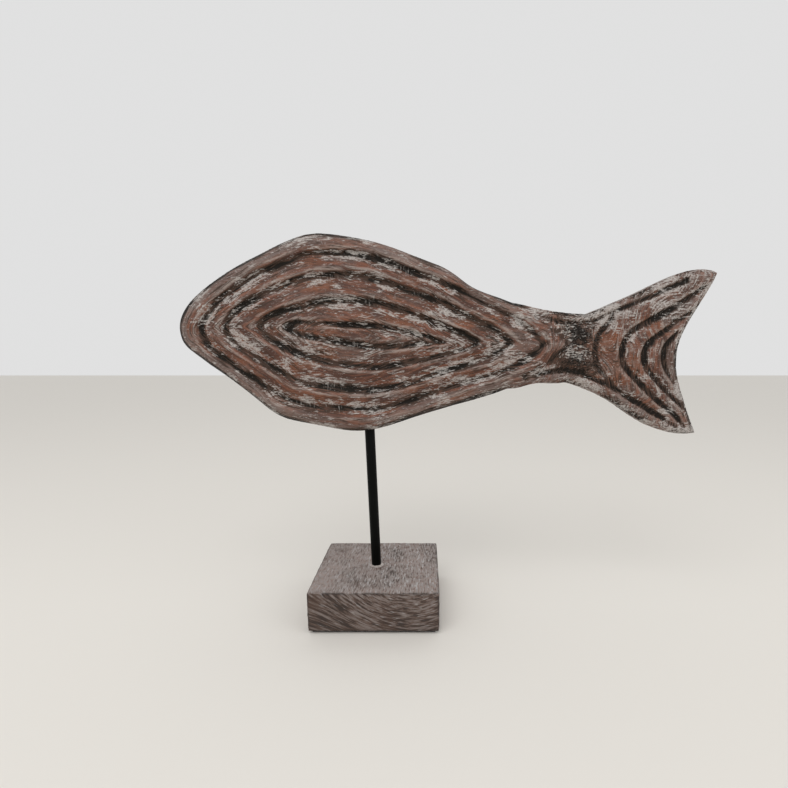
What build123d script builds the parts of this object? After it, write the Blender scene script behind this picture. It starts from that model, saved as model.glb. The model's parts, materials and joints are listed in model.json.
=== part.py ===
from build123d import *
import math
import os

# Fish figurine: a carved wooden fish that turns on a thin steel rod set in a square wooden block.
# Millimetres, +Z up. The origin is the middle of the face it stands on, and the nose points to -X.

# Wooden block and the felt under it
BASE_WIDTH = 80.0
BASE_DEPTH = 80.0
BASE_HEIGHT = 25.4
BASE_EDGE_ROUND = 0.8
FELT_THICKNESS = 1.4
FELT_INSET = 2.5

# Steel rod and the glue that holds its foot
ROD_DIAMETER = 6.35
ROD_LENGTH = 146.4
ROD_END_CHAMFER = 0.6
ROD_LEAN_DEG = 1.7
ROD_FOOT_X = -1.56
SOCKET_DEPTH = 18.0
GLUE_FILM = 0.25
GLUE_BEAD_WIDTH = 1.4
GLUE_BEAD_HEIGHT = 1.1

# Fish: its place on the rod, its box and its thickness
BORE_DEPTH = 36.0
BORE_CLEARANCE = 0.08
ROD_BEHIND_NOSE = 114.0
BODY_LENGTH = 240.0
BODY_HEIGHT = 117.8
EDGE_THICKNESS = 12.6
RIM_THICKNESS = 25.2
BODY_THICKNESS = 30.0
GROOVE_DEPTH = 3.0

# Tail: from the narrow neck behind the body to the two tips
TAIL_LENGTH = 101.0
TAIL_SPAN = 100.1
TAIL_DROP = 2.1
TAIL_THICKNESS = 14.6
TAIL_EDGE_THICKNESS = 8.8
TAIL_RIM_WIDTH = 3.9
TAIL_GROOVE_DEPTH = 2.4
# A tail line's sloping sides go on this far above the tail's face, and from there straight up
# through the body's rim
TAIL_GROOVE_LIP = 0.4
TAIL_GROOVE_OVERRUN = 5.0
TAIL_GROOVE_WIDTH = 6.8

# How far a cut runs past the face it opens on
CUT_OVERRUN = 2.0

# Outlines of the body from nose to hind end, as shares of body length and body height.
# The sawn outline, the crest of its rounded rim and the groove round the innermost leaf.
OUTLINE_TOP_SHARES = [(0.0, 0.535), (0.025, 0.652), (0.072, 0.737), (0.135, 0.82), (0.227, 0.914),
                      (0.292, 0.972), (0.347, 1.0), (0.396, 0.996), (0.484, 0.967), (0.632, 0.867),
                      (0.69, 0.814), (0.732, 0.752), (0.806, 0.692), (0.926, 0.575), (1.0, 0.458)]
OUTLINE_LOW_SHARES = [(0.0, 0.535), (0.002, 0.483), (0.018, 0.44), (0.102, 0.307), (0.19, 0.166),
                      (0.238, 0.088), (0.266, 0.065), (0.344, 0.032), (0.453, 0.0), (0.548, 0.043),
                      (0.69, 0.134), (0.814, 0.208), (0.926, 0.328), (1.0, 0.458)]
RIM_TOP_SHARES = [(0.046, 0.538), (0.058, 0.595), (0.092, 0.671), (0.164, 0.777), (0.251, 0.865),
                  (0.301, 0.902), (0.351, 0.922), (0.415, 0.929), (0.499, 0.905), (0.606, 0.827),
                  (0.659, 0.788), (0.749, 0.71), (0.804, 0.653), (0.889, 0.56), (0.946, 0.458)]
RIM_LOW_SHARES = [(0.046, 0.538), (0.05, 0.48), (0.068, 0.422), (0.108, 0.347), (0.159, 0.266),
                  (0.207, 0.193), (0.251, 0.137), (0.308, 0.098), (0.387, 0.078), (0.465, 0.073),
                  (0.524, 0.086), (0.61, 0.132), (0.698, 0.199), (0.772, 0.252), (0.846, 0.309),
                  (0.897, 0.36), (0.946, 0.458)]
LEAF_TOP_SHARES = [(0.273, 0.545), (0.363, 0.561), (0.513, 0.547), (0.682, 0.466)]
LEAF_LOW_SHARES = [(0.273, 0.545), (0.363, 0.478), (0.513, 0.434), (0.682, 0.466)]

# The rim rounds over between the outline and its crest: share of the way in, share of the rise
RIM_ROUND_SHARES = (0.4, 0.72)
# Carved rings from the rim to the leaf: share of the way in for each groove and for the crest after it,
# at the nose, on the upper side, at the hind end and on the lower side
GROOVE_SHARES = [(0.075, 0.075, 0.075, 0.15), (0.345, 0.355, 0.40, 0.42), (0.735, 0.67, 0.71, 0.72)]
CREST_SHARES = [(0.27, 0.275, 0.31, 0.335), (0.64, 0.605, 0.65, 0.66), (0.945, 0.945, 0.945, 0.945)]
# Each of these crests' share of the rise from the rim's thickness to the body's
CREST_RISE_SHARES = (0.5, 0.8, 1.0)
# The leaf's flat crown is drawn in by this share of the leaf
LEAF_CROWN_SHARE = 0.5
# The body thins towards its ends: where it is thickest along it, and what is left at the hind end
THICKEST_SHARE = 0.4
HIND_THICKNESS_SHARE = 0.74
# The tail's root is hidden under the body's rim, this share of the way from the outline to the crest,
# and follows it through these places along the body
TAIL_ROOT_SHARE = 0.55
ROOT_PLACE_SHARES = (0.82, 0.92, 1.0)

# Tail outline, as shares of tail length behind the start of the neck and of tail span above the low tip
NECK_START_SHARE = 0.934
TAIL_TOP_SHARES = [(-0.2, 0.803), (-0.08, 0.776), (0.06, 0.752), (0.235, 0.738)]
LOBE_TOP_SHARES = [(0.235, 0.738), (0.36, 0.79), (0.57, 0.884), (0.775, 0.977), (0.9, 1.0), (1.0, 0.981)]
FORK_SHARES = [(1.0, 0.981), (0.882, 0.747), (0.81, 0.58), (0.8, 0.425), (0.843, 0.272), (0.903, 0.12),
               (0.955, 0.006)]
LOBE_LOW_SHARES = [(0.955, 0.006), (0.87, 0.0), (0.75, 0.02), (0.59, 0.09), (0.43, 0.197), (0.28, 0.273),
                   (0.125, 0.324)]
TAIL_LOW_SHARES = [(0.125, 0.324), (0.03, 0.318), (-0.06, 0.318), (-0.17, 0.291)]

# Carved lines of the tail: corner points of each path, with the radius of its bends as a share of span
TAIL_LINE_SHARES = [
    ([(0.82, 0.95), (0.24, 0.69), (0.06, 0.70), (-0.07, 0.757)], 0.25),
    ([(-0.13, 0.322), (0.0, 0.383), (0.16, 0.40), (0.40, 0.295), (0.84, 0.03)], 0.25),
    ([(0.39, 0.73), (0.22, 0.52), (0.40, 0.31)], 0.22),
    ([(1.03, 0.96), (0.33, 0.54), (0.93, -0.01)], 0.17),
    ([(0.98, 0.85), (0.50, 0.50), (0.92, 0.1)], 0.14),
    ([(0.8, 0.65), (0.655, 0.5), (0.84, 0.25)], 0.14),
]
# The steep side of a tail line takes this share of its width
STEEP_SIDE_SHARE = 0.25

# Points that carry a blended ring, counted along each side of the body
RING_STEPS = 30

base_top = FELT_THICKNESS + BASE_HEIGHT
rod_radius = ROD_DIAMETER / 2
lean = math.radians(ROD_LEAN_DEG)
rod_direction = Vector(-math.sin(lean), 0, math.cos(lean))
rod_foot = Vector(ROD_FOOT_X, 0, base_top)
rod_top = rod_foot + rod_direction * (ROD_LENGTH - SOCKET_DEPTH)
belly_point = rod_top - rod_direction * BORE_DEPTH
nose_x = belly_point.X - ROD_BEHIND_NOSE
rod_plane = Plane(origin=rod_foot, x_dir=(0, 1, 0), z_dir=rod_direction)

neck_x = nose_x + NECK_START_SHARE * BODY_LENGTH
tail_low_z = belly_point.Z - TAIL_DROP


def body_point(share):
    """Place on the middle plane, from shares of the body's length and height."""
    return Vector(nose_x + share[0] * BODY_LENGTH, 0, belly_point.Z + share[1] * BODY_HEIGHT)


def tail_point(share):
    """Place on the middle plane, from shares of the tail's length and span."""
    return Vector(neck_x + share[0] * TAIL_LENGTH, 0, tail_low_z + share[1] * TAIL_SPAN)


def blend(first, second, share):
    """Vector that lies this share of the way from the first to the second."""
    return first + (second - first) * share


def smooth_curve(points, ends):
    """Curve through the points that leaves and arrives in the directions given."""
    return Spline(points, tangents=ends, tangent_scalars=[1, 1])


def body_curve(shares, nose_tangent):
    """Curve along one side of the body, from the nose to the hind end."""
    points = [body_point(share) for share in shares]
    return smooth_curve(points, [nose_tangent, points[-1] - points[-2]])


def blended_curve(first, second, share):
    """Curve that lies this share of the way from one curve to another."""
    places = [step / RING_STEPS for step in range(RING_STEPS + 1)]
    points = [blend(first @ place, second @ place, share) for place in places]
    ends = [blend(first % end, second % end, share) for end in (0, 1)]
    return smooth_curve(points, ends)


def drifting_curve(first, second, shares):
    """The same, with the share drifting from the curves' start over their middle to their end."""
    places = [step / RING_STEPS for step in range(RING_STEPS + 1)]
    start, middle, end = shares
    points = []
    for place in places:
        ends_share = start * (1 - place) * (1 - 2 * place) + end * place * (2 * place - 1)
        share = ends_share + 4 * middle * place * (1 - place)
        points.append(blend(first @ place, second @ place, share))
    return smooth_curve(points, [blend(first % 0, second % 0, start), blend(first % 1, second % 1, end)])


def thinning(x):
    """Share of the thickness that is left at this place along the body."""
    along = (x - nose_x) / BODY_LENGTH
    fall = (1 - HIND_THICKNESS_SHARE) / (1 - THICKEST_SHARE) ** 2
    return 1 - fall * (along - THICKEST_SHARE) ** 2


def raised_curve(curve, depth, thinned):
    """The same curve, moved out of the middle plane towards the front."""
    places = [step / RING_STEPS for step in range(RING_STEPS + 1)]
    points = []
    for place in places:
        point = curve @ place
        kept = thinning(point.X) if thinned else 1
        points.append(Vector(point.X, -depth * kept, point.Z))
    return smooth_curve(points, [curve % 0, curve % 1])


def ring_wire(pair, depth, thinned=True):
    """Closed wire from an upper and a lower curve at one depth."""
    upper, lower = pair
    return Wire([raised_curve(upper, depth, thinned), raised_curve(lower, depth, thinned)])


def between(first, second, share):
    """Pair of curves that lies between two other pairs."""
    return [blended_curve(one, two, share) for one, two in zip(first, second)]


def carved_ring(rim, leaf, shares):
    """Pair of curves between the rim and the leaf, with the shares of one carved ring."""
    nose, upper, hind, lower = shares
    top_curve = drifting_curve(rim[0], leaf[0], (nose, upper, hind))
    return [top_curve, drifting_curve(rim[1], leaf[1], (nose, lower, hind))]


def body_rings():
    """Outline, rim crest and innermost leaf, each as an upper and a lower curve."""
    up = Vector(0, 0, 1)
    back = Vector(1, 0, 0)
    outline = [body_curve(OUTLINE_TOP_SHARES, up), body_curve(OUTLINE_LOW_SHARES, -up)]
    rim = [body_curve(RIM_TOP_SHARES, up), body_curve(RIM_LOW_SHARES, -up)]
    leaf = [body_curve(LEAF_TOP_SHARES, back + up), body_curve(LEAF_LOW_SHARES, back - up)]
    return outline, rim, leaf


def leaf_crown(leaf):
    """The leaf drawn in about its own middle."""
    middle = (leaf[0] @ 0 + leaf[0] @ 1) / 2
    places = [step / RING_STEPS for step in range(RING_STEPS + 1)]
    crown = []
    for curve in leaf:
        points = [blend(curve @ place, middle, LEAF_CROWN_SHARE) for place in places]
        crown.append(smooth_curve(points, [curve % 0, curve % 1]))
    return crown


def make_body(outline, rim, leaf):
    """Body of the fish: one ruled skin through the carved rings of both faces."""
    edge = EDGE_THICKNESS / 2
    crest = RIM_THICKNESS / 2
    full = BODY_THICKNESS / 2
    round_in, round_rise = RIM_ROUND_SHARES
    front = [ring_wire(outline, edge)]
    front.append(ring_wire(between(outline, rim, round_in), edge + round_rise * (crest - edge)))
    front.append(ring_wire(rim, crest))
    depth = crest
    for groove_shares, crest_shares, rise_share in zip(GROOVE_SHARES, CREST_SHARES, CREST_RISE_SHARES):
        front.append(ring_wire(carved_ring(rim, leaf, groove_shares), depth - GROOVE_DEPTH))
        depth = crest + rise_share * (full - crest)
        front.append(ring_wire(carved_ring(rim, leaf, crest_shares), depth))
    front.append(ring_wire(leaf, depth - GROOVE_DEPTH))
    front.append(ring_wire(leaf_crown(leaf), full, thinned=False))
    back = [wire.mirror(Plane.XZ) for wire in reversed(front)]
    return Solid.make_loft(back + front, ruled=True)


def inset(points, distance, kept):
    """Closed outline moved inwards, apart from the points that are kept."""
    moved = []
    for index, point in enumerate(points):
        if index in kept:
            moved.append(point)
            continue
        into = (point - points[index - 1]).normalized()
        out = (points[(index + 1) % len(points)] - point).normalized()
        first = Vector(into.Z, 0, -into.X)
        second = Vector(out.Z, 0, -out.X)
        moved.append(point + (first + second) * (distance / (1 + first.dot(second))))
    return moved


def tail_wire(runs, points, depth):
    """Closed wire of the tail at one depth, one curve for each run of points."""
    edges = []
    start = 0
    for count in runs:
        chosen = [points[(start + step) % len(points)] for step in range(count)]
        edges.append(Spline([Vector(point.X, -depth, point.Z) for point in chosen]))
        start += count - 1
    return Wire(edges)


def make_tail(outline, rim):
    """Tail of the fish: a flat slab with sloping edges, rooted under the body's rim."""
    root = between(outline, rim, TAIL_ROOT_SHARE)
    upper_root = [root[0] @ place for place in ROOT_PLACE_SHARES]
    lower_root = [root[1] @ place for place in ROOT_PLACE_SHARES]
    sides = [TAIL_TOP_SHARES, LOBE_TOP_SHARES, FORK_SHARES, LOBE_LOW_SHARES, TAIL_LOW_SHARES]
    runs = []
    points = [upper_root[0]]
    for side in sides:
        places = [tail_point(share) for share in side]
        points += places if side is TAIL_TOP_SHARES else places[1:]
        runs.append(len(places))
    runs[0] += 1
    runs[-1] += 1
    points += lower_root + [upper_root[1]]
    runs.append(len(lower_root) + len(upper_root) - 1)
    rooted = {0} | set(range(len(points) - len(lower_root) - 1, len(points)))
    drawn_in = inset(points, TAIL_RIM_WIDTH, rooted)
    face = tail_wire(runs, drawn_in, TAIL_THICKNESS / 2)
    edge = tail_wire(runs, points, TAIL_EDGE_THICKNESS / 2)
    return Solid.make_loft([face.mirror(Plane.XZ), edge.mirror(Plane.XZ), edge, face], ruled=True)


def tail_groove(path_shares, bend_share):
    """Cutter for one carved line of the tail: a lopsided V along straight runs and arcs."""
    face = -TAIL_THICKNESS / 2
    corners = [tail_point(share) for share in path_shares]
    corners = [Vector(corner.X, face, corner.Z) for corner in corners]
    path = FilletPolyline(corners, radius=bend_share * TAIL_SPAN)
    start = Plane(origin=path @ 0, x_dir=(0, 1, 0), z_dir=path % 0)
    steep = TAIL_GROOVE_WIDTH * STEEP_SIDE_SHARE
    gentle = TAIL_GROOVE_WIDTH - steep
    stretch = (TAIL_GROOVE_DEPTH + TAIL_GROOVE_LIP) / TAIL_GROOVE_DEPTH
    section = Polyline((TAIL_GROOVE_DEPTH, 0), (-TAIL_GROOVE_LIP, -steep * stretch),
                       (-TAIL_GROOVE_OVERRUN, -steep * stretch), (-TAIL_GROOVE_OVERRUN, gentle * stretch),
                       (-TAIL_GROOVE_LIP, gentle * stretch), close=True)
    return sweep(start * make_face(section), path=path)


def make_fish():
    """Carved fish with the blind bore that turns on the rod."""
    outline, rim, leaf = body_rings()
    fish = make_body(outline, rim, leaf) + make_tail(outline, rim)
    for path_shares, bend_share in TAIL_LINE_SHARES:
        cutter = tail_groove(path_shares, bend_share)
        fish = fish - cutter - cutter.mirror(Plane.XZ)
    bore_length = BORE_DEPTH + CUT_OVERRUN
    bore = Cylinder(rod_radius + BORE_CLEARANCE, bore_length, align=(Align.CENTER, Align.CENTER, Align.MAX))
    bore_end = Plane(origin=rod_top, x_dir=(0, 1, 0), z_dir=rod_direction)
    return fish - bore_end * bore


def make_base():
    """Wooden block with the drilled socket for the rod."""
    block = Box(BASE_WIDTH, BASE_DEPTH, BASE_HEIGHT, align=(Align.CENTER, Align.CENTER, Align.MIN))
    block = fillet(block.edges(), BASE_EDGE_ROUND)
    block = Pos(0, 0, FELT_THICKNESS) * block
    drill_length = SOCKET_DEPTH + CUT_OVERRUN
    drill = Cylinder(rod_radius + GLUE_FILM, drill_length, align=(Align.CENTER, Align.CENTER, Align.MIN))
    return block - rod_plane * Pos(0, 0, -SOCKET_DEPTH) * drill


def make_glue(block):
    """Set glue: a film round the rod in its socket and a bead where it came out on top."""
    film = rod_radius + GLUE_FILM
    bead = film + GLUE_BEAD_WIDTH
    profile = Polyline((rod_radius, -SOCKET_DEPTH), (film, -SOCKET_DEPTH), (film, -GLUE_BEAD_HEIGHT),
                       (bead, -GLUE_BEAD_HEIGHT), (bead, 0), (rod_radius, GLUE_BEAD_HEIGHT), close=True)
    glue = revolve(Plane.XZ * make_face(profile), Axis.Z)
    return rod_plane * glue - block


def make_rod():
    """Straight steel rod with broken edges at both ends."""
    rod = Cylinder(rod_radius, ROD_LENGTH, align=(Align.CENTER, Align.CENTER, Align.MIN))
    ends = rod.edges().filter_by(GeomType.CIRCLE)
    rod = chamfer(ends, ROD_END_CHAMFER)
    return rod_plane * Pos(0, 0, -SOCKET_DEPTH) * rod


def make_felt():
    """Felt sheet glued under the block."""
    return Box(BASE_WIDTH - 2 * FELT_INSET, BASE_DEPTH - 2 * FELT_INSET, FELT_THICKNESS,
               align=(Align.CENTER, Align.CENTER, Align.MIN))


def main():
    os.makedirs("parts", exist_ok=True)
    block = make_base()
    pieces = {
        "fish_body": make_fish(),
        "support_rod": make_rod(),
        "base_block": block,
        "rod_glue": make_glue(block),
        "base_felt": make_felt(),
    }
    for name, piece in pieces.items():
        export_step(piece, f"parts/{name}.step")


main()
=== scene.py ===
"""Carved wooden fish on a black rod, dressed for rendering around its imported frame."""
import json
import math

import bpy
import numpy as np
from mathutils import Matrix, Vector, kdtree, noise

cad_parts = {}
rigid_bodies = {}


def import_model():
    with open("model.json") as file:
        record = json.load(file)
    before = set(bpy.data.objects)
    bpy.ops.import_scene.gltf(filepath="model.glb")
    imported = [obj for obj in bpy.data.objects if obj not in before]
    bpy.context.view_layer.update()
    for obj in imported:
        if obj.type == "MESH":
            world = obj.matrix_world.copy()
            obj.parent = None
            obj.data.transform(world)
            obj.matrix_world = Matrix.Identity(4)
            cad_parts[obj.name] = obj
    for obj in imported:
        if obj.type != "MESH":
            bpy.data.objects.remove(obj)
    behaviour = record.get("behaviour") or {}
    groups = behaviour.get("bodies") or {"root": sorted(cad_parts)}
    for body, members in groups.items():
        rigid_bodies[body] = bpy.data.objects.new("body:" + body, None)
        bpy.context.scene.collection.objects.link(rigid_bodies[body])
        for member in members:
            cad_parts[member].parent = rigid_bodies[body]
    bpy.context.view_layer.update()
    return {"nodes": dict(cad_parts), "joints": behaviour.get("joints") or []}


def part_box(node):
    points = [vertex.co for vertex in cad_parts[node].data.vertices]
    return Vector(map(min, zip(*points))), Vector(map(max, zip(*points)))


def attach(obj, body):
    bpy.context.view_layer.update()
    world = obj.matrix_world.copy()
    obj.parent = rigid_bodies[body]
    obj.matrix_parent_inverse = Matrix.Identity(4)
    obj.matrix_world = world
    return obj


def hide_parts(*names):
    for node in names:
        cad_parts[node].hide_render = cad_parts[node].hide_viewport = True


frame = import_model()

bl_info = {
    "name": "Carved fish figurine",
    "version": (1, 0, 0),
    "blender": (4, 5, 0),
    "location": "View3D > Sidebar > Figurine",
    "description": "Dresses a carved fish on its rod and block with wood, paint, glue and felt",
    "category": "Object",
}

MM = 0.001
SWIVEL = frame["joints"][0]
ROD_AXIS = Vector(SWIVEL["axis"]).normalized()
ROD_POINT = Vector(SWIVEL["pos_m"])

# Soft steps along X: where the body ends, the neck starts and ends, and the tail's lines start
BODY_ENDS = (98 * MM, 120 * MM)
NECK_STARTS = (98 * MM, 112 * MM)
NECK_ENDS = (132 * MM, 146 * MM)
TAIL_STARTS = (134 * MM, 156 * MM)
# The tail's stain and chalk, and the lines wiped clean of chalk, start further forward
TAIL_COAT_STARTS = (112 * MM, 146 * MM)
WIPED_STARTS = (96 * MM, 116 * MM)
# Middle of the neck's lines above the floor, and the middle of the dark pool of stain on the neck
NECK_HEIGHT = 176 * MM
POOL_X = 126 * MM
POOL_HEIGHT = 174 * MM
# Soft step from the sawn edge onto the carved face
FACE_STARTS = (4 * MM, 7 * MM)

# Strength of the dark stain: what the tail has more, in its grooves together with painted shade, the second
# line of a groove, and the pool
TAIL_STAIN_AND_SHADE = 0.2
SECOND_STAIN = 0.75
POOL_STAIN = 1.05
# How readily the chalk catches beside the grooves, on the rim, on the tail and on the pool
CHALK_BESIDE = 0.11
CHALK_RIM = 0.08
CHALK_TAIL = 0.065
CHALK_POOL = 0.045
# Share of that chalk that is missing on the neck, and in the wiped lines
BARE_NECK = 0.7
WIPED = 0.7


def linear(code):
    """Linear RGB of an sRGB hex colour."""
    parts = [int(code[place:place + 2], 16) / 255 for place in (0, 2, 4)]
    return tuple(part / 12.92 if part <= 0.04045 else ((part + 0.055) / 1.055) ** 2.4 for part in parts)


def shade(colour):
    """Colour with full alpha, as a shader socket takes it."""
    return (*colour, 1.0)


def colour_prop(name, code, description):
    """Colour setting, written as an sRGB hex value."""
    return bpy.props.FloatVectorProperty(name=name, subtype="COLOR", size=3, min=0, max=1,
                                         default=linear(code), description=description)


def length_prop(name, millimetres, description):
    """Length setting, written in millimetres and held in metres."""
    return bpy.props.FloatProperty(name=name, unit="LENGTH", precision=5, default=millimetres * MM,
                                   description=description)


class FigurineFish(bpy.types.PropertyGroup):
    """Carving marks and stain of the fish."""
    grid: length_prop("Grid", 1.0, "Size of the mesh faces that carry the carving marks")
    wander: length_prop("Wander", 0.8, "How far the hand-cut lines stray from their path")
    wander_span: length_prop("Wander span", 24, "Distance over which a line strays and comes back")
    gouge: length_prop("Gouge", 0.28, "Depth of the long gouge marks along the grooves")
    gouge_long: length_prop("Gouge length", 16, "Length of a gouge mark")
    gouge_wide: length_prop("Gouge width", 1.7, "Width of a gouge mark")
    smoothing: bpy.props.IntProperty(name="Smoothing", default=3, min=0,
                                     description="Passes that round the carved edges")
    brown: colour_prop("Brown", "7A4C39", "Worn red brown stain on the ridges")
    amber: colour_prop("Amber", "865338", "Warm stain where the wash was rubbed off")
    deep_brown: colour_prop("Deep brown", "4C3128", "Stain where it soaked in")
    # Crest: painted highlight along the lips of the ridges
    crest: colour_prop("Crest", "A0938B", "Worn edges of the ridges")
    dusk: colour_prop("Dusk", "82756F", "Pinkish grey wash on the rim")
    # Soot: edge of the dark stain; along the grooves it also paints their shade
    soot: colour_prop("Soot", "3A281C", "Thin edge of the dark stain")
    # Black: dark stain in the grooves, made darker so that it paints their shade as well
    black: colour_prop("Black", "14100B", "Dark stain left in the grooves")
    chalk: colour_prop("Chalk", "BAB4AF", "Dry-brushed grey white")


class FigurineStand(bpy.types.PropertyGroup):
    """Block, rod, glue and felt."""
    grid: length_prop("Grid", 0.65, "Size of the block's mesh faces")
    wear: length_prop("Wear", 0.5, "How far the block's edges are worn")
    grain: length_prop("Grain", 0.22, "Depth of the brushed grain")
    ring: length_prop("Ring", 0.85, "Width of one growth ring")
    pale: colour_prop("Pale", "918985", "Whitewash on the block")
    chalk: colour_prop("Chalk", "B0ACAA", "Wash that caught on the raised grain")
    umber: colour_prop("Umber", "766A64", "Wood that shows through the wash")
    end: colour_prop("End grain", "4F3C32", "Stain that the ends drank")
    sooty: colour_prop("Sooty", "352E2B", "Dark late wood and worn edges")
    # Sooty: dark late wood, and the worn edges, where it also paints shade along the edges
    blush: colour_prop("Blush", "937D74", "Pinkish brown wood under a thin wash")
    rod: colour_prop("Rod", "050605", "Black paint on the steel rod")
    rod_worn: colour_prop("Rod, rubbed", "0C0E0D", "Paint that handling rubbed")
    glue_dull: colour_prop("Glue, dull", "968C86", "Glue that took up dust")
    glue: colour_prop("Glue", "B5ACA6", "Dried glue round the rod")
    felt_light: colour_prop("Felt, light", "4A4542", "Fibres that stand up")
    felt: colour_prop("Felt", "2B2826", "Felt under the block")


class FigurineStage(bpy.types.PropertyGroup):
    """Floor, light and camera."""
    floor: colour_prop("Floor", "E6E2DB", "Plain pale floor")
    camera_x: length_prop("Camera X", 31.1, "Camera to the right of the block's middle")
    camera_y: length_prop("Camera Y", -318.2, "Camera in front of the block's middle")
    camera_z: length_prop("Camera Z", 169.95, "Camera above the floor")
    pitch: bpy.props.FloatProperty(name="Pitch", subtype="ANGLE", default=math.radians(10.26),
                                   description="How far the camera looks down")
    lens: bpy.props.FloatProperty(name="Lens", default=22.94, unit="CAMERA", description="Focal length")
    shift_x: bpy.props.FloatProperty(name="Shift X", default=-0.0393, description="Sideways lens shift")
    shift_y: bpy.props.FloatProperty(name="Shift Y", default=0.0584, description="Upward lens shift")
    sky: bpy.props.FloatProperty(name="Sky", default=0.75, min=0, description="Strength of the even light")
    key: bpy.props.FloatProperty(name="Key", default=3.5, min=0, unit="POWER", description="Main soft light")
    fill: bpy.props.FloatProperty(name="Fill", default=1.0, min=0, unit="POWER",
                                  description="Weak light from the right")


def deselect():
    """Leave nothing selected."""
    bpy.ops.object.select_all(action="DESELECT")


def activate(piece):
    """Make this the one selected and active object."""
    deselect()
    piece.select_set(True)
    bpy.context.view_layer.objects.active = piece


def modify(piece, kind, **settings):
    """Add a modifier with its settings and apply it."""
    activate(piece)
    bpy.ops.object.modifier_add(type=kind)
    modifier = piece.modifiers[-1]
    for key, value in settings.items():
        setattr(modifier, key, value)
    bpy.ops.object.modifier_apply(modifier=modifier.name)


def node_copy(node, label):
    """Piece that starts as a copy of a CAD node, with its loose triangles merged."""
    piece = bpy.data.objects.new(label, frame["nodes"][node].data.copy())
    bpy.context.scene.collection.objects.link(piece)
    piece.data.materials.clear()
    activate(piece)
    bpy.ops.object.mode_set(mode="EDIT")
    bpy.ops.mesh.select_all(action="SELECT")
    bpy.ops.mesh.remove_doubles(threshold=0.001 * MM)
    bpy.ops.object.mode_set(mode="OBJECT")
    return piece


def clear_bubbles(piece):
    """Delete what a remesh left loose inside: all that isn't linked to the outermost vertex."""
    activate(piece)
    bpy.ops.object.mode_set(mode="EDIT")
    bpy.ops.mesh.select_mode(type="VERT")
    bpy.ops.mesh.select_all(action="DESELECT")
    bpy.ops.object.mode_set(mode="OBJECT")
    outermost = int(np.argmax(places(piece)[:, 0]))
    piece.data.vertices[outermost].select = True
    bpy.ops.object.mode_set(mode="EDIT")
    bpy.ops.mesh.select_linked()
    bpy.ops.mesh.select_all(action="INVERT")
    bpy.ops.mesh.delete(type="VERT")
    bpy.ops.object.mode_set(mode="OBJECT")


def dress(piece, material, body, node):
    """Give a finished piece its material and its body, and hide the node that it stands for."""
    piece.data.materials.clear()
    piece.data.materials.append(material)
    activate(piece)
    bpy.ops.object.shade_smooth()
    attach(piece, body)
    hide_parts(node)


def settle(piece):
    """Put the piece's place into its mesh."""
    activate(piece)
    bpy.ops.object.transform_apply(location=True, rotation=True, scale=True)


def added():
    """The object that the last operator added."""
    return bpy.context.view_layer.objects.active


def on_rod(height):
    """Point of the rod's axis at this height above the floor."""
    return ROD_POINT + ROD_AXIS * ((height - ROD_POINT.z) / ROD_AXIS.z)


def rod_cylinder(bottom, top, radius, sides):
    """Cylinder along the rod's axis, between two heights."""
    foot, head = on_rod(bottom), on_rod(top)
    deselect()
    bpy.ops.mesh.primitive_cylinder_add(vertices=sides, radius=radius, depth=(head - foot).length,
                                        location=(foot + head) / 2,
                                        rotation=ROD_AXIS.to_track_quat("Z", "Y").to_euler())
    return added()


def drill(piece, bottom, top, radius):
    """Cut a round hole along the rod's axis."""
    cutter = rod_cylinder(bottom, top, radius, sides=48)
    modify(piece, "BOOLEAN", operation="DIFFERENCE", object=cutter, solver="EXACT")
    bpy.data.objects.remove(cutter)


def bevel_edges(piece, chosen, width, segments):
    """Bevel in edit mode the edges that the test chooses by their two ends."""
    activate(piece)
    bpy.ops.object.mode_set(mode="EDIT")
    bpy.ops.mesh.select_mode(type="EDGE")
    bpy.ops.mesh.select_all(action="DESELECT")
    bpy.ops.object.mode_set(mode="OBJECT")
    for edge in piece.data.edges:
        first, second = (piece.data.vertices[number].co for number in edge.vertices)
        edge.select = chosen(first, second)
    bpy.ops.object.mode_set(mode="EDIT")
    bpy.ops.mesh.bevel(offset=width, segments=segments, affect="EDGES")
    bpy.ops.object.mode_set(mode="OBJECT")


def sawn_box(label, low, high):
    """Plain box between two corners, its place already in its mesh."""
    deselect()
    bpy.ops.mesh.primitive_cube_add(size=1, location=(low + high) / 2, scale=high - low)
    piece = added()
    piece.name = label
    settle(piece)
    return piece


def places(piece):
    """Vertex places as an array."""
    flat = np.empty(len(piece.data.vertices) * 3, dtype=np.float32)
    piece.data.vertices.foreach_get("co", flat)
    return flat.reshape(-1, 3).astype(float)


def normals(piece):
    """Vertex normals as an array."""
    flat = np.empty(len(piece.data.vertices) * 3, dtype=np.float32)
    piece.data.vertex_normals.foreach_get("vector", flat)
    return flat.reshape(-1, 3).astype(float)


def put_places(piece, spots):
    """Write vertex places back."""
    piece.data.vertices.foreach_set("co", spots.astype(np.float32).ravel())
    piece.data.update()


def put_attribute(piece, name, values):
    """Write one number for each vertex, for the material to read."""
    layer = piece.data.attributes.new(name, "FLOAT", "POINT")
    layer.data.foreach_set("value", values.astype(np.float32))


def edge_ends(piece):
    """The two vertex numbers of each edge."""
    flat = np.empty(len(piece.data.edges) * 2, dtype=np.int32)
    piece.data.edges.foreach_get("vertices", flat)
    return flat.reshape(-1, 2)


def relaxed(values, ends, passes):
    """Values spread along the edges: each vertex takes the mean of its neighbours, again and again."""
    count = np.bincount(ends.ravel(), minlength=len(values)).reshape(-1, 1)
    for _ in range(passes):
        total = np.zeros_like(values)
        np.add.at(total, ends[:, 0], values[ends[:, 1]])
        np.add.at(total, ends[:, 1], values[ends[:, 0]])
        values = total / np.maximum(count, 1)
    return values


def spread(values, ends, passes, pick):
    """Lowest or highest value within so many edges of each vertex."""
    for _ in range(passes):
        reached = values.copy()
        pick.at(reached, ends[:, 0], values[ends[:, 1]])
        pick.at(reached, ends[:, 1], values[ends[:, 0]])
        values = reached
    return values


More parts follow.
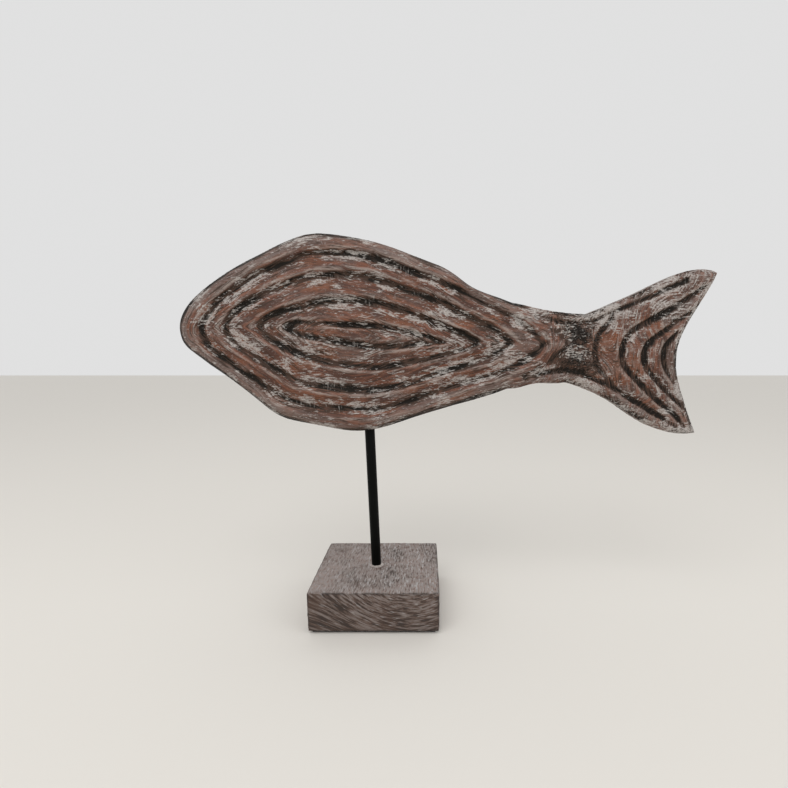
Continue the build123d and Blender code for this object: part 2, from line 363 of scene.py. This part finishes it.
def around(values, ends, pick):
    """Lowest or highest value round each vertex, softened."""
    reach, soften = 7, 5
    return relaxed(spread(values, ends, reach, pick)[:, None], ends, soften)[:, 0]


def hollowness(spots, facing, ends, passes):
    """How far the surface round each vertex stands above it: over 0 in a hollow, under 0 on an edge."""
    return np.einsum("ij,ij->i", relaxed(spots, ends, passes) - spots, facing)


def speckle(*axes):
    """Smooth noise, from -1 to 1, at each row of coordinates."""
    rows = np.stack(np.broadcast_arrays(*axes), axis=1)
    return np.array([noise.noise(row) for row in rows])


def blotches(spots, size, shift=0):
    """Noise at each vertex, in blotches of this size in millimetres. Shift picks another part of it."""
    x, y, z = (spots / (np.array(size) * MM)).T
    return speckle(x, y, z + shift)


def ramp(values, low, high):
    """Smooth step from 0 at low to 1 at high."""
    share = np.clip((values - low) / (high - low), 0, 1)
    return share * share * (3 - 2 * share)


def plane_distance(spots, chosen):
    """Distance of each vertex from the nearest of the chosen ones, seen from the front."""
    tree = kdtree.KDTree(len(chosen))
    for number in chosen:
        tree.insert((spots[number, 0], 0, spots[number, 2]), int(number))
    tree.balance()
    return np.array([tree.find((spot[0], 0, spot[2]))[2] for spot in spots])


def sawn_wall(spots, facing):
    """Vertices of the sawn outline, without those of the rod's bore."""
    most_tilt, half_width, bore_reach = 0.3, 6 * MM, 5 * MM
    from_rod = np.linalg.norm(np.cross(spots - np.array(ROD_POINT), np.array(ROD_AXIS)), axis=1)
    square = np.abs(facing[:, 1]) < most_tilt
    return np.where(square & (np.abs(spots[:, 1]) < half_width) & (from_rod > bore_reach))[0]


def neck(x):
    """How far each place along the fish belongs to the neck, from 0 to 1."""
    return ramp(x, *NECK_STARTS) * (1 - ramp(x, *NECK_ENDS))


def crowding(x):
    """Length of neck passed on the way from the nose.

    Added to the way along the lines, it shortens the marks on the neck, which have no direction.
    """
    start, end, step = 90 * MM, 160 * MM, 0.5 * MM
    stops = np.arange(start, end, step)
    return np.interp(x, stops, np.cumsum(neck(stops)) * step)


def carved_lines(spots, facing, inward):
    """Coordinates along and across the carved lines: round the body, through the neck, up the tail."""
    wall = sawn_wall(spots, facing)
    # The fork is the part of the outline that faces backwards, behind the neck
    backwards, fork_from = 0.45, 150 * MM
    fork = wall[(facing[wall, 0] > backwards) & (spots[wall, 0] > fork_from)]
    x, z = spots[:, 0], spots[:, 2]
    body = 1 - ramp(x, *BODY_ENDS)
    tail = ramp(x, *TAIL_STARTS)
    stray = blotches(spots, (13, 13, 13)) * 1.3 * MM
    # The tail's coordinates are shifted to carry on from those of the body
    up_tail = z - 30 * MM
    to_fork = plane_distance(spots, fork) - 40 * MM
    crowded = 5
    along = x * (1 - tail) + up_tail * tail + crowded * crowding(x)
    across = inward * body + (z - NECK_HEIGHT) * (1 - body - tail) + to_fork * tail + stray
    return along, across


def add(tree, kind, inputs=None, out=0, **settings):
    """Add one shader node with its settings, set or link its sockets, and give one output of it.

    A socket goes by its name, or by its number where names repeat. Math takes 0 and 1. Mix takes the
    share as 0, then 2 and 3 for numbers or 6 and 7 for colours. MapRange takes the value as 0, the
    levels that it comes from as 1 and 2, and those that it goes to as 3 and 4.
    """
    made = tree.nodes.new("ShaderNode" + kind)
    for key, value in settings.items():
        setattr(made, key, value)
    for key, value in (inputs or {}).items():
        if isinstance(value, bpy.types.NodeSocket):
            tree.links.new(value, made.inputs[key])
        else:
            made.inputs[key].default_value = value
    return made.outputs[out] if made.outputs else None


def pattern(tree, vector, size, levels, shift=0.0, top=1.0, detail=3.0, push=None):
    """Cloudy pattern of this size in millimetres along each axis, cut softly between two levels.

    Shift picks another part of the noise, top is the strongest share, and push lifts the noise
    before the cut. Falling levels give the low parts of the noise in place of the high ones.
    """
    placed = add(tree, "Mapping", {"Vector": vector, "Location": (shift,) * 3,
                                   "Scale": tuple(1 / (span * MM) for span in size)})
    cloudy = add(tree, "TexNoise", {"Vector": placed, "Scale": 1.0, "Detail": detail, "Roughness": 0.6})
    if push is not None:
        cloudy = add(tree, "Math", {0: cloudy, 1: push}, operation="ADD")
    return add(tree, "MapRange", {0: cloudy, 1: levels[0], 2: levels[1], 4: top},
               interpolation_type="SMOOTHSTEP")


def coats(tree, colour, layers):
    """Colour with each coat laid over the ones before it, by its own share."""
    for share, tint in layers:
        colour = add(tree, "Mix", {0: share, 6: colour, 7: shade(tint)}, out=2, data_type="RGBA")
    return colour


def new_material(name):
    """Empty node material and its tree."""
    material = bpy.data.materials.new(name)
    material.use_nodes = True
    material.node_tree.nodes.clear()
    return material, material.node_tree


def stained_carved_wood(look):
    """Light carved wood, stained brown and black, then dry-brushed with grey white.

    The dark stain stays in the grooves and along the sawn edge; in the grooves it comes with painted shade,
    and the lips of the ridges carry a painted highlight.
    The chalk catches on what stands up, in short flecks along the carved lines and along the grain, with a
    few strokes across it.
    """
    material, tree = new_material("stained_carved_wood")
    grain = add(tree, "TexCoord", out="Object")
    spot = add(tree, "SeparateXYZ", {0: grain}).node.outputs
    inward, along, across, dark, crest, catch = (
        add(tree, "Attribute", out="Fac", attribute_name=name)
        for name in ("inward", "along", "across", "dark", "crest", "catch"))
    # First axis along the carved lines and second across them, so that a long thin pattern follows them
    lines = add(tree, "CombineXYZ", {0: along, 1: across, 2: spot["Y"]})

    # Brown stain that soaked in unevenly, and a thin grey wash that is thicker on the rim
    soaked = pattern(tree, lines, (22, 2.4, 2.4), (0.4, 0.66), 3.1, detail=4.0)
    warm = pattern(tree, grain, (26, 16, 11), (0.48, 0.64), 6.7, 0.5, detail=4.0)
    haze = pattern(tree, grain, (38, 12, 9), (0.46, 0.7), 8.2, 0.4, detail=4.0)
    outer = add(tree, "MapRange", {0: inward, 1: 9.5 * MM, 2: 5.5 * MM})
    washed = pattern(tree, lines, (30, 5, 5), (0.3, 0.62), 8.7, 0.6)
    rim = add(tree, "Math", {0: outer, 1: washed}, operation="MULTIPLY")
    # Painted highlight along the lips of the ridges, broken into patches by this pattern
    worn = pattern(tree, lines, (16, 2.5, 4), (0.34, 0.6), 2.2, 0.7)
    painted_crest_highlight = add(tree, "Math", {0: crest, 1: worn}, operation="MULTIPLY")

    # Dark stain: thin streaks, specks, and what fills the grooves with a frayed edge. What fills the grooves
    # is dark stain and painted shade together
    streaks = pattern(tree, lines, (15, 0.8, 1.6), (0.56, 0.66), 5.3, 0.7, detail=4.0)
    specks = pattern(tree, grain, (3.2, 1.2, 0.8), (0.56, 0.66), 7.1, 0.5)
    faded = pattern(tree, grain, (30, 12, 14), (0.36, 0.62), 4.9, 0.46)
    left = add(tree, "Math", {0: dark, 1: faded}, operation="SUBTRACT")
    left = add(tree, "MapRange", {0: left, 4: 0.4})
    # Frayed fill of the grooves and its black middle: dark stain together with painted shade
    stain = pattern(tree, lines, (9, 0.8, 1.6), (0.53, 0.66), 1.7, 0.95, detail=4.0, push=left)
    black_core_and_shade = pattern(tree, lines, (9, 0.8, 1.6), (0.74, 0.81), 1.7, 0.95, detail=4.0, push=left)

    # Chalk flecks in patches, thickest beside the grooves, broken up by the rough surface
    patches = pattern(tree, grain, (20, 9, 9), (0.4, 0.66), 2.4, 0.17)
    ready = add(tree, "Math", {0: patches, 1: catch}, operation="ADD")
    kept = add(tree, "MapRange", {0: stain, 4: -0.06})
    ready = add(tree, "Math", {0: ready, 1: kept}, operation="ADD")
    flecks = pattern(tree, lines, (8, 1.1, 1.8), (0.68, 0.75), 6.2, detail=4.0, push=ready)
    dashes = pattern(tree, grain, (4.2, 1.4, 0.8), (0.68, 0.74), 1.3, push=ready)
    salt = pattern(tree, grain, (2.4, 1.2, 0.7), (0.58, 0.68), 5.9, 0.6, push=kept)
    combed = pattern(tree, grain, (0.9, 4, 5), (0.54, 0.62), 4.6)
    where = pattern(tree, grain, (15, 10, 13), (0.58, 0.68), 9.3, 0.5)
    strokes = add(tree, "Math", {0: combed, 1: where}, operation="MULTIPLY")
    chalk = add(tree, "Math", {0: flecks, 1: dashes}, operation="MAXIMUM")
    chalk = add(tree, "Math", {0: chalk, 1: salt}, operation="MAXIMUM")
    chalk = add(tree, "Math", {0: chalk, 1: strokes}, operation="MAXIMUM")
    broken = pattern(tree, grain, (1.1, 0.9, 0.7), (0.25, 0.6), 3.8, 0.88)
    chalk = add(tree, "Math", {0: chalk, 1: broken}, operation="MULTIPLY")

    colour = coats(tree, shade(look.deep_brown), (
        (soaked, look.brown), (warm, look.amber), (haze, look.dusk), (rim, look.dusk), (painted_crest_highlight, look.crest),
        (streaks, look.soot), (specks, look.soot), (stain, look.soot), (black_core_and_shade, look.black),
        (chalk, look.chalk)))
    relief = pattern(tree, lines, (10, 0.7, 1.4), (0.2, 0.8), 5.3)
    relief = add(tree, "Math", {0: relief, 1: chalk}, operation="ADD")
    bump = add(tree, "Bump", {"Height": relief, "Distance": 0.25 * MM, "Strength": 0.6})
    rough = add(tree, "MapRange", {0: chalk, 3: 0.62, 4: 0.86})
    # The dark stain, with the painted shade it carries in the grooves, is duller than the worn wood
    gloss = add(tree, "MapRange", {0: black_core_and_shade, 3: 0.35, 4: 0.16})
    wood = add(tree, "BsdfPrincipled", {"Base Color": colour, "Roughness": rough, "Normal": bump, "IOR": 1.5,
                                        "Specular IOR Level": gloss})
    add(tree, "OutputMaterial", {0: wood})
    return material


def whitewashed_block_wood(look):
    """Softwood block with a rubbed grey whitewash.

    Its ends drank the stain: they are darker, and the wash lies on their growth rings in short
    strokes. The long grain runs from front to back over the top and along the sides.
    """
    material, tree = new_material("whitewashed_block_wood")
    where = add(tree, "TexCoord", out="Object")
    worn, ends = (add(tree, "Attribute", out="Fac", attribute_name=name) for name in ("worn", "ends"))
    # The middle of the tree lies above the block and to the right, along Y. The rings flatten out to the left
    heart = add(tree, "Mapping", {"Vector": where, "Location": (-22 * MM, 0, 48 * MM), "Scale": (1, 1, -1)})
    spot = add(tree, "SeparateXYZ", {0: heart}).node.outputs
    sideways = add(tree, "MapRange", {0: spot["X"], 1: -75 * MM, 2: 75 * MM, 3: -45 * MM, 4: 45 * MM},
                   interpolation_type="SMOOTHSTEP")
    flat = add(tree, "CombineXYZ", {0: sideways, 2: spot["Z"]})
    radius = add(tree, "VectorMath", {0: flat}, out="Value", operation="LENGTH")
    turned = add(tree, "Math", {0: sideways, 1: spot["Z"]}, operation="ARCTAN2")
    # Way round the middle, in metres, on a ring of 45 mm
    round_it = add(tree, "Math", {0: turned, 1: 45 * MM}, operation="MULTIPLY")
    rings_at = add(tree, "CombineXYZ", {0: radius, 1: round_it, 2: spot["Y"]})
    ring_size = (look.ring / MM, 8, 14)

    cloud = pattern(tree, where, (26, 34, 18), (0.36, 0.64), 2.3)
    lift = add(tree, "MapRange", {0: cloud, 3: -0.03, 4: 0.03})
    soaked = add(tree, "MapRange", {0: ends, 3: 0.0, 4: -0.05})
    push = add(tree, "Math", {0: lift, 1: soaked}, operation="ADD")
    # The wash lies thicker and softer on the left
    sided = add(tree, "MapRange", {0: spot["X"], 1: -58 * MM, 2: -12 * MM, 3: 0.45})
    curls = pattern(tree, where, (1.3, 2.4, 1.3), (0.36, 0.6), 3.7, push=lift)
    fibre = pattern(tree, where, (0.9, 6, 0.9), (0.4, 0.6), 0.4, push=lift)
    fibre = add(tree, "Mix", {0: sided, 2: curls, 3: fibre})
    ring_wash = pattern(tree, rings_at, ring_size, (0.4, 0.6), 1.1, 0.6, detail=4.0, push=push)
    wash = add(tree, "Mix", {0: ends, 2: fibre, 3: ring_wash})
    fibre_dark = pattern(tree, where, (0.9, 6, 0.9), (0.48, 0.36), 0.4, 0.75, push=lift)
    fibre_dark = add(tree, "Math", {0: fibre_dark, 1: sided}, operation="MULTIPLY")
    ring_dark = pattern(tree, rings_at, ring_size, (0.46, 0.34), 1.1, 0.85, detail=4.0, push=push)
    late = add(tree, "Mix", {0: ends, 2: fibre_dark, 3: ring_dark})
    fibre_caught = pattern(tree, where, (1.0, 6, 1.0), (0.54, 0.66), 7.7, 0.85)
    fibre_caught = add(tree, "Math", {0: fibre_caught, 1: sided}, operation="MULTIPLY")
    ring_caught = pattern(tree, rings_at, ring_size, (0.58, 0.72), 7.7, 0.7, detail=4.0)
    caught = add(tree, "Mix", {0: ends, 2: fibre_caught, 3: ring_caught})
    blots = pattern(tree, where, (15, 13, 11), (0.53, 0.68), 6.6, 0.5, detail=5.0)
    drunk = add(tree, "MapRange", {0: ends, 4: 0.85})
    # Dark edges: wear, and painted shade along the block's edges
    nibbled = pattern(tree, where, (2.5, 9, 2.5), (0.35, 0.6), 6.1, 0.85)
    rubbed = add(tree, "Math", {0: worn, 1: nibbled}, operation="MULTIPLY")
    colour = coats(tree, shade(look.umber), (
        (cloud, look.blush), (drunk, look.end), (wash, look.pale), (late, look.sooty), (blots, look.end),
        (caught, look.chalk), (rubbed, look.sooty)))
    bump = add(tree, "Bump", {"Height": wash, "Distance": 0.25 * MM, "Strength": 0.5})
    wood = add(tree, "BsdfPrincipled", {"Base Color": colour, "Roughness": 0.8, "Normal": bump, "IOR": 1.5,
                                        "Specular IOR Level": 0.3})
    add(tree, "OutputMaterial", {0: wood})
    return material


def black_rod_paint(look):
    """Satin black paint on drawn steel: nearly even, with faint lines along the rod."""
    material, tree = new_material("black_rod_paint")
    where = add(tree, "TexCoord", out="Object")
    drawn = pattern(tree, where, (0.5, 0.5, 14), (0.3, 0.7))
    rubbed = pattern(tree, where, (4, 4, 18), (0.45, 0.7), 3.4, 0.8)
    rough = add(tree, "MapRange", {0: drawn, 3: 0.36, 4: 0.52})
    colour = coats(tree, shade(look.rod), ((rubbed, look.rod_worn),))
    bump = add(tree, "Bump", {"Height": drawn, "Distance": 0.05 * MM, "Strength": 0.4})
    paint = add(tree, "BsdfPrincipled", {"Base Color": colour, "Roughness": rough, "Normal": bump, "IOR": 1.5,
                                         "Specular IOR Level": 0.08})
    add(tree, "OutputMaterial", {0: paint})
    return material


def dried_wood_glue(look):
    """Dried glue: pale, slightly cloudy and smoother than the wood."""
    material, tree = new_material("dried_wood_glue")
    where = add(tree, "TexCoord", out="Object")
    haze = pattern(tree, where, (1.5, 1.5, 1.5), (0.3, 0.7))
    colour = coats(tree, shade(look.glue_dull), ((haze, look.glue),))
    bump = add(tree, "Bump", {"Height": haze, "Distance": 0.1 * MM, "Strength": 0.5})
    glue = add(tree, "BsdfPrincipled", {"Base Color": colour, "Roughness": 0.45, "Normal": bump, "IOR": 1.48})
    add(tree, "OutputMaterial", {0: glue})
    return material


def pressed_felt(look):
    """Pressed wool felt: matted fibres with a soft sheen, drawn coarser than real ones to show."""
    material, tree = new_material("pressed_felt")
    where = add(tree, "TexCoord", out="Object")
    matted = pattern(tree, where, (0.6, 0.6, 0.6), (0.3, 0.7), detail=5.0)
    tufts = pattern(tree, where, (3, 3, 3), (0.4, 0.7), 4.4, 0.5)
    colour = coats(tree, shade(look.felt), ((matted, look.felt_light), (tufts, look.felt)))
    bump = add(tree, "Bump", {"Height": matted, "Distance": 0.3 * MM, "Strength": 0.8})
    felt = add(tree, "BsdfPrincipled", {"Base Color": colour, "Roughness": 0.95, "Normal": bump,
                                        "Sheen Weight": 0.3, "Sheen Roughness": 0.5})
    add(tree, "OutputMaterial", {0: felt})
    return material


class FIGURINE_OT_fish(bpy.types.Operator):
    """Carve the fish from its solid: hand-cut lines, gouge marks and stain"""
    bl_idname = "figurine.fish"
    bl_label = "Carve fish"

    def execute(self, context):
        look = context.scene.figurine_fish
        piece = node_copy("fish_body", "carved_fish")
        modify(piece, "REMESH", mode="VOXEL", voxel_size=look.grid)
        clear_bubbles(piece)
        modify(piece, "SMOOTH", factor=0.5, iterations=look.smoothing)
        self.roughen(piece, look)
        self.bore(piece)
        self.measure(piece)
        dress(piece, stained_carved_wood(look), "fish", "fish_body")
        return {"FINISHED"}

    def roughen(self, piece, look):
        """Let the lines wander and cut gouge marks along them."""
        low, high = (np.array(corner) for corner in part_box("fish_body"))
        spots = places(piece)
        facing = normals(piece)
        inward = plane_distance(spots, sawn_wall(spots, facing))
        along, across = carved_lines(spots, facing, inward)
        x, y, z = spots.T
        span = look.wander_span
        inner = ramp(inward, 1 * MM, 8 * MM)
        # The added numbers only pick another part of the noise
        sway_x = speckle(x / span, z / span, y / span + 5) * look.wander * inner
        sway_z = speckle(x / span, z / span, y / span + 9) * look.wander * inner
        marks = speckle(along / look.gouge_long, across / look.gouge_wide, y / span)
        fine = speckle(along / look.gouge_long * 2, across / look.gouge_wide * 2, y / span + 3)
        depth = (marks * 0.7 + fine * 0.3) * look.gouge
        spots += facing * depth[:, None]
        spots[:, 0] += sway_x
        spots[:, 2] += sway_z
        put_places(piece, np.clip(spots, low, high))

    def bore(self, piece):
        """Drill the hole for the rod again, clean through the carving marks."""
        low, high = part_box("support_rod")
        above, beside = 0.05 * MM, 0.085 * MM
        bottom = ROD_POINT.z - (high[2] - ROD_POINT.z)
        drill(piece, bottom, high[2] + above, (high[1] - low[1]) / 2 + beside)

    def measure(self, piece):
        """Tell the material where the grooves, ridges and edges are."""
        spots = places(piece)
        facing = normals(piece)
        ends = edge_ends(piece)
        inward = plane_distance(spots, sawn_wall(spots, facing))
        along, across = carved_lines(spots, facing, inward)
        height = self.groove_height(spots, ends)
        # Dark stain together with painted shade in the grooves
        lines = self.stain_and_shade_in_grooves(spots, facing, ends, inward, height)
        pooled = self.pool(spots)
        dark = np.maximum.reduce([lines, self.stained_edge(spots, inward),
                                  self.second_line(spots, inward, height) * SECOND_STAIN,
                                  pooled * POOL_STAIN])
        lip = -hollowness(spots, facing, ends, 3)
        put_attribute(piece, "inward", inward)
        put_attribute(piece, "along", along)
        put_attribute(piece, "across", across)
        put_attribute(piece, "dark", relaxed(dark[:, None], ends, 1)[:, 0])
        # Crest: the lips of the ridges, where the material paints a highlight
        put_attribute(piece, "crest", ramp(lip, 0.07 * MM, 0.15 * MM) * ramp(inward, *FACE_STARTS))
        put_attribute(piece, "catch", self.chalk(spots, inward, height, lines, pooled))

    def groove_height(self, spots, ends):
        """Height of each vertex between the bottom of a groove, 0, and the ridges beside it, 1."""
        depth = np.abs(spots[:, 1])
        lowest = around(depth, ends, np.minimum)
        highest = around(depth, ends, np.maximum)
        carved = ramp(highest - lowest, 0.6 * MM, 1.4 * MM)
        never_zero = 0.01 * MM
        share = np.clip((depth - lowest) / (highest - lowest + never_zero), 0, 1)
        return 1 - carved * (1 - share)

    def stain_and_shade_in_grooves(self, spots, facing, ends, inward, height):
        """Dark stain with painted shade in the grooves: on their steep sides, at their bottom and in what is
        scored.
        """
        tail = ramp(spots[:, 0], *TAIL_COAT_STARTS)
        inner = ramp(inward, *FACE_STARTS)
        slope = np.sqrt(np.clip(1 - facing[:, 1] ** 2, 0, 1))
        # Steep sides, bottoms and hollows of the grooves take dark stain and painted shade alike
        steep = ramp(slope, 0.42, 0.68) * (1 - ramp(height, 0.35, 1.0))
        sunk = 1 - ramp(height - 0.15 * tail, 0.0, 0.42)
        hollow = hollowness(spots, facing, ends, 10)
        scored = ramp(hollow, 0.03 * MM, 0.28 * MM) * ramp(inward, 1.2 * MM, 2.4 * MM)
        return np.maximum.reduce([steep * inner, sunk * inner, scored]) * (1 + TAIL_STAIN_AND_SHADE * tail)

    def second_line(self, spots, inward, height):
        """Second thin line that runs inside a groove of the body for part of its way."""
        middle, width = 0.52, 0.06
        traced = ramp(blotches(spots, (34, 24, 26), 7), -0.05, 0.12)
        line = np.exp(-((height - middle) / width) ** 2)
        return line * traced * ramp(inward, *FACE_STARTS) * (1 - ramp(spots[:, 0], *TAIL_COAT_STARTS))

    def stained_edge(self, spots, inward):
        """Patchy dark stain along the sawn edge, strongest at its corners."""
        patchy = ramp(blotches(spots, (24, 24, 20)), -0.4, -0.1)
        corner = ramp(np.abs(spots[:, 1]), 1.5 * MM, 4.5 * MM)
        return (1 - ramp(inward, 0.8 * MM, 4.2 * MM)) * patchy * (0.3 + 0.8 * corner)

    def pool(self, spots):
        """Flecked stain that pooled on the neck, wider where it runs out above and below."""
        half_width, widening, half_height = 9 * MM, 0.8, 19 * MM
        blot = blotches(spots, (9, 24, 9)) * 3 * MM
        flecked = 1.05 + 1.5 * blotches(spots, (3, 6, 2))
        away = np.abs(spots[:, 2] - POOL_HEIGHT)
        beside = (spots[:, 0] + blot - POOL_X) / (half_width + widening * away)
        return np.exp(-beside ** 2 - (away / half_height) ** 2) * flecked

    def chalk(self, spots, inward, height, lines, pooled):
        """How readily the dry brush leaves chalk."""
        x = spots[:, 0]
        beside = ramp(height, 0.02, 0.16) * (1 - ramp(height, 0.3, 0.75))
        beside *= ramp(inward, *FACE_STARTS) * (1 - BARE_NECK * neck(x))
        rim = 1 - ramp(inward, 2 * MM, 6 * MM)
        catch = CHALK_BESIDE * beside + CHALK_RIM * rim + CHALK_TAIL * ramp(x, *TAIL_COAT_STARTS)
        catch += CHALK_POOL * np.clip(pooled, 0, 1)
        # The lines of the neck and the tail were wiped clean
        return catch * (1 - WIPED * ramp(x, *WIPED_STARTS) * np.clip(lines, 0, 1))


class FIGURINE_OT_block(bpy.types.Operator):
    """Saw the block, wear its edges and brush its grain"""
    bl_idname = "figurine.block"
    bl_label = "Whitewashed block"

    def execute(self, context):
        look = context.scene.figurine_stand
        low, high = (Vector(corner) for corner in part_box("base_block"))
        piece = sawn_box("washed_block", low, high)
        bevel_edges(piece, lambda first, second: True, width=0.7 * MM, segments=2)
        modify(piece, "REMESH", mode="VOXEL", voxel_size=look.grid)
        self.wear(piece, look, low, high)
        rod_low, rod_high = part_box("support_rod")
        glue_film, overcut = 0.25 * MM, 5 * MM
        drill(piece, rod_low[2], high.z + overcut, (rod_high[1] - rod_low[1]) / 2 + glue_film)
        dress(piece, whitewashed_block_wood(look), "stand", "base_block")
        return {"FINISHED"}

    def wear(self, piece, look, low, high):
        """Nibble the edges and raise the grain, inside the block's own box."""
        spots = places(piece)
        facing = normals(piece)
        ends = edge_ends(piece)
        edge = ramp(-hollowness(spots, facing, ends, 12), 0.05 * MM, 0.5 * MM)
        nibble = blotches(spots, (5, 5, 5)) * 0.5 + 0.5
        brushed = blotches(spots, (1.6, 26, 1.6)) * 0.5 + 0.5
        front = ramp(np.abs(facing[:, 1]), 0.6, 0.9)
        # The end grain is brushed half as deep
        depth = edge * nibble * look.wear + brushed * look.grain * (1 - 0.5 * front)
        put_places(piece, np.clip(spots - facing * depth[:, None], np.array(low), np.array(high)))
        # Edges: worn, and darkened by the material as wear and painted shade
        put_attribute(piece, "worn", edge)
        put_attribute(piece, "ends", front)


class FIGURINE_OT_rod(bpy.types.Operator):
    """Turn the painted rod along its leaning axis"""
    bl_idname = "figurine.rod"
    bl_label = "Black rod"

    def execute(self, context):
        look = context.scene.figurine_stand
        low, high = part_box("support_rod")
        slack, level = 0.1 * MM, 0.01 * MM
        piece = rod_cylinder(low[2] + slack, high[2] - slack, (high[1] - low[1]) / 2, sides=64)
        piece.name = "painted_rod"
        settle(piece)
        bevel_edges(piece, lambda first, second: abs((second - first).dot(ROD_AXIS)) < level,
                    width=0.6 * MM, segments=3)
        dress(piece, black_rod_paint(look), "stand", "support_rod")
        activate(piece)
        bpy.ops.object.shade_smooth_by_angle(angle=math.radians(40))
        return {"FINISHED"}


class FIGURINE_OT_glue(bpy.types.Operator):
    """Squeeze out the uneven ring of glue round the rod's foot"""
    bl_idname = "figurine.glue"
    bl_label = "Glue ring"

    def execute(self, context):
        look = context.scene.figurine_stand
        piece = node_copy("rod_glue", "glue_ring")
        modify(piece, "REMESH", mode="VOXEL", voxel_size=0.14 * MM)
        modify(piece, "SMOOTH", factor=0.5, iterations=6)
        low, high = (np.array(corner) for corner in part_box("rod_glue"))
        spots = places(piece)
        facing = normals(piece)
        lumps = blotches(spots, (2.2, 2.2, 2.2)) * 0.3 * MM
        block_top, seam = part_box("base_block")[1][2], 0.2 * MM
        top = ramp(spots[:, 2], block_top - seam, block_top + seam)
        spots += facing * (lumps * top)[:, None]
        put_places(piece, np.clip(spots, low, high))
        dress(piece, dried_wood_glue(look), "stand", "rod_glue")
        return {"FINISHED"}


class FIGURINE_OT_felt(bpy.types.Operator):
    """Cut the felt under the block"""
    bl_idname = "figurine.felt"
    bl_label = "Felt"

    def execute(self, context):
        look = context.scene.figurine_stand
        low, high = (Vector(corner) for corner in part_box("base_felt"))
        piece = sawn_box("felt_sheet", low, high)
        bevel_edges(piece, lambda first, second: True, width=0.35 * MM, segments=2)
        dress(piece, pressed_felt(look), "stand", "base_felt")
        return {"FINISHED"}


class FIGURINE_OT_stage(bpy.types.Operator):
    """Set the floor, the soft light and the camera"""
    bl_idname = "figurine.stage"
    bl_label = "Stage"

    def execute(self, context):
        stage = context.scene.figurine_stage
        self.floor(stage)
        self.light(stage)
        self.camera(stage)
        context.scene.view_settings.view_transform = "Standard"
        return {"FINISHED"}

    def floor(self, stage):
        """Wide pale floor under the block."""
        deselect()
        bpy.ops.mesh.primitive_plane_add(size=6, location=(0, 0, 0))
        floor = added()
        floor.name = "floor"
        material, tree = new_material("pale_floor")
        surface = add(tree, "BsdfPrincipled", {"Base Color": shade(stage.floor), "Roughness": 0.9})
        add(tree, "OutputMaterial", {0: surface})
        floor.data.materials.append(material)

    def light(self, stage):
        """Even sky with a large soft key and a weak fill, both turned towards the fish."""
        middle = Vector((0.03, 0, 0.15))
        world = bpy.data.worlds.new("studio")
        world.use_nodes = True
        world.node_tree.nodes.clear()
        sky = add(world.node_tree, "Background", {"Color": (1, 1, 1, 1), "Strength": stage.sky})
        add(world.node_tree, "OutputWorld", {0: sky})
        bpy.context.scene.world = world
        for name, power, place, size in (("key", stage.key, (-0.25, -0.65, 0.95), 0.7),
                                         ("fill", stage.fill, (0.8, -0.5, 0.5), 0.6)):
            lamp = bpy.data.lights.new(name, "AREA")
            lamp.energy = power
            lamp.size = size
            shown = bpy.data.objects.new(name, lamp)
            shown.location = place
            aim = middle - Vector(place)
            shown.rotation_euler = aim.to_track_quat("-Z", "Y").to_euler()
            bpy.context.scene.collection.objects.link(shown)

    def camera(self, stage):
        """Camera at the photograph's place."""
        lens = bpy.data.cameras.new("camera")
        # Width of a full frame, in the millimetres that Blender takes here
        lens.sensor_width = 36
        lens.lens = stage.lens
        lens.shift_x = stage.shift_x
        lens.shift_y = stage.shift_y
        lens.clip_start = 0.01
        camera = bpy.data.objects.new("camera", lens)
        camera.location = (stage.camera_x, stage.camera_y, stage.camera_z)
        camera.rotation_euler = (math.pi / 2 - stage.pitch, 0, 0)
        bpy.context.scene.collection.objects.link(camera)
        bpy.context.scene.camera = camera


class FIGURINE_PT_panel(bpy.types.Panel):
    """Lists the figurine's pieces in the sidebar"""
    bl_label = "Figurine"
    bl_idname = "FIGURINE_PT_panel"
    bl_space_type = "VIEW_3D"
    bl_region_type = "UI"
    bl_category = "Figurine"

    def draw(self, context):
        for maker in OPERATORS:
            self.layout.operator(maker.bl_idname)


GROUPS = {"figurine_fish": FigurineFish, "figurine_stand": FigurineStand, "figurine_stage": FigurineStage}
OPERATORS = (FIGURINE_OT_fish, FIGURINE_OT_block, FIGURINE_OT_rod, FIGURINE_OT_glue, FIGURINE_OT_felt,
             FIGURINE_OT_stage)


def register():
    for name, group in GROUPS.items():
        bpy.utils.register_class(group)
        setattr(bpy.types.Scene, name, bpy.props.PointerProperty(type=group))
    for maker in OPERATORS:
        bpy.utils.register_class(maker)
    bpy.utils.register_class(FIGURINE_PT_panel)


def unregister():
    bpy.utils.unregister_class(FIGURINE_PT_panel)
    for maker in reversed(OPERATORS):
        bpy.utils.unregister_class(maker)
    for name, group in GROUPS.items():
        delattr(bpy.types.Scene, name)
        bpy.utils.unregister_class(group)


def main():
    register()
    bpy.ops.figurine.fish()
    bpy.ops.figurine.block()
    bpy.ops.figurine.rod()
    bpy.ops.figurine.glue()
    bpy.ops.figurine.felt()
    bpy.ops.figurine.stage()


if __name__ == "__main__":
    main()
